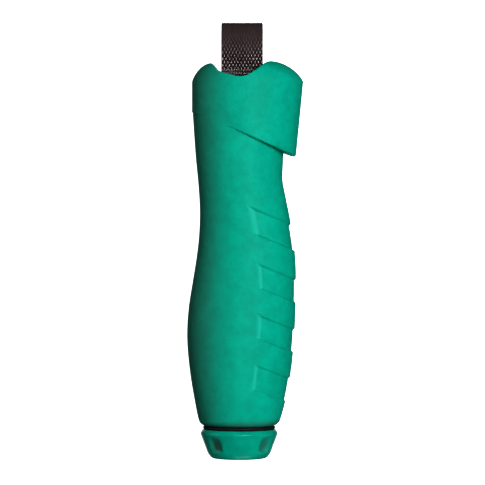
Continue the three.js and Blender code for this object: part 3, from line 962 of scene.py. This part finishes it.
def threaded_ring(name, outline, radius, material, columns=144):
    """A turned piece whose wall at this radius carries the right-hand thread."""
    grid, angles = turned_grid(outline, columns)
    reach = np.hypot(grid[..., 0], grid[..., 2])
    wave = np.cos(2 * math.pi * (grid[..., 1] / THREAD_PITCH - angles / (2 * math.pi)))
    lift = np.where(np.abs(reach - radius) < 0.001, wave * THREAD_HEIGHT / 2, 0)
    grid[..., 0] *= 1 + lift / reach
    grid[..., 2] *= 1 + lift / reach
    return grid_piece(name, grid, material)


def thread_ferrule():
    bore, guide, shoulder, body, collar, end = 6.85, 5.35, 17.5, 8.4, 9.4, 24.0
    thread = [(THREAD_RADIUS, s) for s in np.arange(5.6, 9.05, 0.1)]
    piece = threaded_ring("ferrule", [
        (bore + 0.2, 5.5), (7.55, 5.5), *thread, (7.55, 9.1), (7.55, collar), (body - 0.2, collar),
        (body, collar + 0.2), (body, end - 0.3), (body - 0.3, end), (guide + 0.3, end),
        (guide, end - 0.3), (guide, shoulder), (bore, shoulder), (bore, 5.7),
    ], THREAD_RADIUS, MATERIALS["brass"])
    return cut_piece(piece, lock_hole())


def nut_insert():
    mouth, tip, back = 5.6, 8.0, 9.3
    radius = THREAD_RADIUS + GAP
    thread = [(radius, s) for s in np.arange(8.9, 5.65, -0.1)]
    return threaded_ring("nut_thread", [
        (mouth, 1.6), (tip - 0.2, 1.6), (tip, 1.8), (back, 8.9), (back - 0.2, NUT_LENGTH),
        (8.5, NUT_LENGTH), *thread, (8.1, 5.4), (8.1, 4.4), (7.2, 4.3), (mouth, 2.0),
    ], radius, MATERIALS["brass"])


def collet():
    piece = ring_piece("collet_sleeve", [
        (5.25, 2.3), (5.5, 2.3), (6.9, 4.3), (6.9, 4.4), (6.0, 4.4), (6.0, 5.4), (6.55, 5.4),
        (6.55, 16), (5.25, 16),
    ], MATERIALS["steel"], ease=0.06)
    slots = []
    for angle in (math.pi / 4, 3 * math.pi / 4):
        slot = block("slot", (-13, 13), (0, 12.5), (-0.4, 0.4), MATERIALS["steel"])
        turn_points(slot, angle)
        slots.append(slot)
    return cut_piece(piece, *slots)


def turn_points(piece, angle):
    """Turns a piece's mesh about the tool's axis."""
    for vertex in piece.data.vertices:
        x, z = vertex.co.x - ORIGIN[0], vertex.co.z - ORIGIN[2]
        vertex.co.x = ORIGIN[0] + x * math.cos(angle) + z * math.sin(angle)
        vertex.co.z = ORIGIN[2] - x * math.sin(angle) + z * math.cos(angle)


# ---------- core and rod ----------


def lock_hole():
    """The rod that cuts the holes for the two pins which lock the ferrule in the core."""
    return cross_rod("hole", LOCK_RADIUS + GAP / 2, -13, 13, LOCK_AT, MATERIALS["steel"], columns=32)


def core_tube():
    piece = ring_piece("core", [
        (8.7, 10.6), (9.7, 10.6), (9.7, CORE_TOP), (CORE_MOUTH, CORE_TOP), (CORE_MOUTH, 99.5), (6.2, 99.5),
        (6.2, 24.3), (8.7, 24.3),
    ], MATERIALS["core_black"], ease=0.25)
    return cut_piece(piece, lock_hole())


def seal_ring():
    return ring_piece("seal", [
        (8.7, 9.35), (11.3, 9.35), (11.6, 9.85), (11.3, 10.35), (8.7, 10.35),
    ], MATERIALS["rubber_black"], ease=0.25, columns=192)


def tip_bumper():
    collar = CORE_MOUTH - GAP
    return solid_piece("bumper", [
        (0, 95.4), (3.3, 95.4), (3.3, 93), (5.9, 93), (5.9, 99.8), (collar, 99.8), (collar, 101.8),
        (0, 101.8),
    ], MATERIALS["rubber_black"], ease=0.3)


def anchor_plug():
    """Round spigot and square head, with the slot for the webbing and the hole for its pin."""
    low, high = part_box("anchor_plug")
    x_range = [(v - ORIGIN[0]) / MM for v in (low.x, high.x)]
    s_range = [(v - ORIGIN[1]) / MM for v in (low.y, high.y)]
    angles = np.linspace(0, 2 * math.pi, 96, endpoint=False)
    radius = CORE_MOUTH - GAP
    ease = 0.3
    spigot = (radius * np.sin(angles), radius * np.cos(angles))
    inner = ((radius - ease) * np.sin(angles), (radius - ease) * np.cos(angles))
    head = rounded_box(angles, x_range, (-PLUG_HALF_DEPTH, PLUG_HALF_DEPTH), 12)
    top_z_range = (ease - PLUG_HALF_DEPTH, PLUG_HALF_DEPTH - ease)
    top = rounded_box(angles, (x_range[0] + ease, x_range[1] - ease), top_z_range, 12)
    half = WEBBING_WIDTH / 2 + GAP
    slot = rounded_box(angles, (WEBBING_MIDDLE - half, WEBBING_MIDDLE + half), (-4.0, 4.0), 14)
    narrower = half - ease
    well = rounded_box(angles, (WEBBING_MIDDLE - narrower, WEBBING_MIDDLE + narrower), (-3.7, 3.7), 14)
    rows = [
        (inner, s_range[0]), (spigot, s_range[0] + ease), (spigot, CORE_TOP + GAP - 0.01),
        (head, CORE_TOP + GAP), (head, s_range[1] - ease), (top, s_range[1]), (slot, s_range[1]),
        (slot, PIN_AT - 3.9), (well, PIN_AT - 4.1),
    ]
    grid = [np.stack([x, np.full_like(x, s), z], axis=-1) for (x, z), s in rows]
    points = np.array(grid).reshape(-1, 3).tolist()
    columns = len(angles)
    faces = wall_faces(len(rows), columns)
    faces.append(tuple(range(columns)))
    faces.append(tuple(range((len(rows) - 1) * columns, len(rows) * columns)))
    piece = mesh_piece("plug", points, faces, MATERIALS["core_black"])
    hole = cross_rod("hole", PIN_RADIUS + GAP / 2, -20, 20, PIN_AT, MATERIALS["core_black"])
    return cut_piece(piece, hole)


def rod_holder():
    return solid_piece("holder", [
        (0, 2.7), (3.3, 2.7), (3.3, 0.4), (4.6, 0.4), (5.0, 0.8), (5.0, 17.0), (4.2, 17.0),
        (4.2, 18.4), (5.0, 18.4), (5.0, 19.7), (4.7, 20.0), (3.9, 20.0), (3.9, 6.0), (0, 6.0),
    ], MATERIALS["holder_steel"])


def stone_rod():
    """The tapered stone, its tip rounded, its shank set in the holder."""
    wide, narrow, tip, shoulder = 4.5, 2.4, 95.0, 20.3
    nose = [(narrow * math.cos(t), tip - narrow + narrow * math.sin(t)) for t in np.linspace(0, 1.5, 12)]
    taper = [
        (wide + (narrow - wide) * part, shoulder + 0.5 + (tip - narrow - shoulder - 0.5) * part)
        for part in np.linspace(0, 1, 24)[:-1]
    ]
    return solid_piece("stone_rod", [
        (0, 6.3), (3.6, 6.3), (3.6, shoulder), (wide - 0.3, shoulder), *taper, *nose, (0, tip),
    ], MATERIALS["stone"], ease=0.3, columns=96)


def end_plug():
    return solid_piece("rod_plug", [
        (0, 1.0), (1.4, 0.5), (2.8, 0.5), (3.0, 0.7), (3.0, 2.4), (0, 2.4),
    ], MATERIALS["core_black"], ease=0.1)


def o_ring():
    middle, along, thick = 4.8, 17.7, 0.3
    turns = np.linspace(0, 2 * math.pi, 16, endpoint=False)
    circle = [(middle + thick * math.cos(t), along + thick * math.sin(t)) for t in turns]
    grid, _ = turned_grid(circle, 96)
    return grid_piece("rod_ring", grid, MATERIALS["rubber_black"])


def retaining_ring():
    return ring_piece("snap_ring", [(6.3, 4.65), (7.75, 4.65), (7.75, 5.15), (6.3, 5.15)],
                      MATERIALS["steel"], ease=0.08)


# ---------- the tool ----------


def build_tool():
    """Makes every piece and gives it the CAD nodes that it stands for and its finish, and every piece but
    the webbing its body.
    """
    settle(grip_sleeve(), "handle", "grip_green", "grip_sleeve")
    settle(butt_cap(), "handle", "grip_green", "butt_cap")
    settle(core_tube(), "handle", "core_black", "core_tube")
    settle(thread_ferrule(), "handle", "brass", "thread_ferrule")
    settle(seal_ring(), "handle", "rubber_black", "seal_ring")
    settle(tip_bumper(), "handle", "rubber_black", "tip_bumper")
    settle(anchor_plug(), "handle", "core_black", "anchor_plug")
    pin = cross_rod("pin", PIN_RADIUS, -7.5, 9.36, PIN_AT, MATERIALS["steel"])
    settle(pin, "handle", "steel", "strap_pin")
    for side, (start, end) in {"left": (-9.5, -5.75), "right": (5.75, 9.5)}.items():
        lock = cross_rod(f"lock_{side}", LOCK_RADIUS, start, end, LOCK_AT, MATERIALS["steel"], columns=32)
        settle(lock, "handle", "steel", f"ferrule_pin_{side}")

    strap = webbing()
    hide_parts("webbing_tail", "webbing_loop")
    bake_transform(strap)

    settle(nut_shell(), "nut", "nut_green", "collet_nut")
    settle(nut_insert(), "nut", "brass", "nut_insert")
    settle(retaining_ring(), "nut", "steel", "retaining_ring")
    settle(collet(), "collet", "steel", "collet")
    settle(rod_holder(), "rod", "holder_steel", "rod_holder")
    settle(stone_rod(), "rod", "stone", "whetstone_rod")
    settle(end_plug(), "rod", "core_black", "holder_end_plug")
    settle(o_ring(), "rod", "rubber_black", "holder_o_ring")


# ---------- stage ----------

CAMERA_DISTANCE = 0.85            # metres
CAMERA_OVER = (1.06, 68.79)       # x and s of the point that it looks down on, in millimetres
FRAME_WIDTH = 0.1548              # metres that the picture spans at the tool's axis

TOOL_MIDDLE = (0, 0, 0.015)       # in the row frame, in metres

# Place, size, watts and colour of each lamp; all of them face the tool's middle.
LAMPS = {
    "key": ((0.21, 0.12, 0.70), (0.16, 0.4), 3.85, (1, 1, 1)),
    "fill": ((-0.55, 0.12, 0.12), (0.4, 0.4), 0.42, (1, 0.76, 0.68)),
    "low": ((0.6, -0.25, 0.07), (0.3, 0.3), 0.16, (1, 1, 1)),
    "front": ((0.1, -0.7, 0.1), (0.4, 0.3), 0.6, (1, 1, 1)),
    "rear": ((-0.1, 0.7, 0.1), (0.4, 0.3), 0.3, (1, 1, 1)),
    "bounce": ((0, 0, -0.6), (0.6, 0.6), 0.7, (1, 1, 1)),
}
WORLD_COLOUR = (0.9, 0.95, 1.0, 1)
WORLD_STRENGTH = 0.055

FLOOR_SIZE = 6.0
DOME_RADIUS = 5.0
STAGE_GLOW = 0.9


def add_camera():
    data = bpy.data.cameras.new("camera")
    data.lens = data.sensor_width * CAMERA_DISTANCE / FRAME_WIDTH
    data.clip_end = 20
    camera = bpy.data.objects.new("camera", data)
    camera.location = place((*CAMERA_OVER, CAMERA_DISTANCE / MM))
    bpy.context.scene.collection.objects.link(camera)
    bpy.context.scene.camera = camera


def area_light(name, position, size, watts, colour):
    """A soft rectangular lamp that faces the tool's middle."""
    data = bpy.data.lights.new(name, "AREA")
    data.shape = "RECTANGLE"
    data.size, data.size_y = size
    data.energy = watts
    data.color = colour
    lamp = bpy.data.objects.new(name, data)
    lamp.location = position
    direction = Vector(TOOL_MIDDLE) - Vector(position)
    lamp.rotation_euler = direction.to_track_quat("-Z", "Y").to_euler()
    bpy.context.scene.collection.objects.link(lamp)


def stage_object(name, mesh):
    """A plain pale surface; build_stage leaves it seen only by the camera."""
    material = bpy.data.materials.new(name)
    material.use_nodes = True
    principled = material.node_tree.nodes["Principled BSDF"]
    principled.inputs["Base Color"].default_value = (0.8, 0.8, 0.8, 1)
    principled.inputs["Roughness"].default_value = 0.9
    principled.inputs["Emission Color"].default_value = (1, 1, 1, 1)
    principled.inputs["Emission Strength"].default_value = STAGE_GLOW
    mesh.materials.append(material)
    piece = bpy.data.objects.new(name, mesh)
    bpy.context.scene.collection.objects.link(piece)
    return piece


def stage_plane(name, height):
    mesh = bpy.data.meshes.new(name)
    half = FLOOR_SIZE / 2
    corners = [(-half, -half, height), (half, -half, height), (half, half, height), (-half, half, height)]
    mesh.from_pydata(corners, [], [(0, 1, 2, 3)])
    return stage_object(name, mesh)


def stage_dome(name):
    mesh = bpy.data.meshes.new(name)
    ball = bmesh.new()
    bmesh.ops.create_uvsphere(ball, u_segments=32, v_segments=16, radius=DOME_RADIUS)
    ball.to_mesh(mesh)
    ball.free()
    return stage_object(name, mesh)


def build_stage():
    """A pale floor just under the tool, a pale dome round both, and the lamps."""
    floor = stage_plane("floor", CAD_BOX[0][2] - 0.0002)
    dome = stage_dome("backdrop")
    for plain in (floor, dome):
        plain.visible_diffuse = False
        plain.visible_glossy = False
        plain.visible_shadow = False
    scene = bpy.context.scene
    scene.view_settings.view_transform = "Standard"
    scene.view_settings.look = "High Contrast"
    world = bpy.data.worlds.new("world")
    world.use_nodes = True
    background = world.node_tree.nodes["Background"]
    background.inputs["Color"].default_value = WORLD_COLOUR
    background.inputs["Strength"].default_value = WORLD_STRENGTH
    scene.world = world
    for name, lamp in LAMPS.items():
        area_light(name, *lamp)


add_camera()
build_stage()
build_tool()
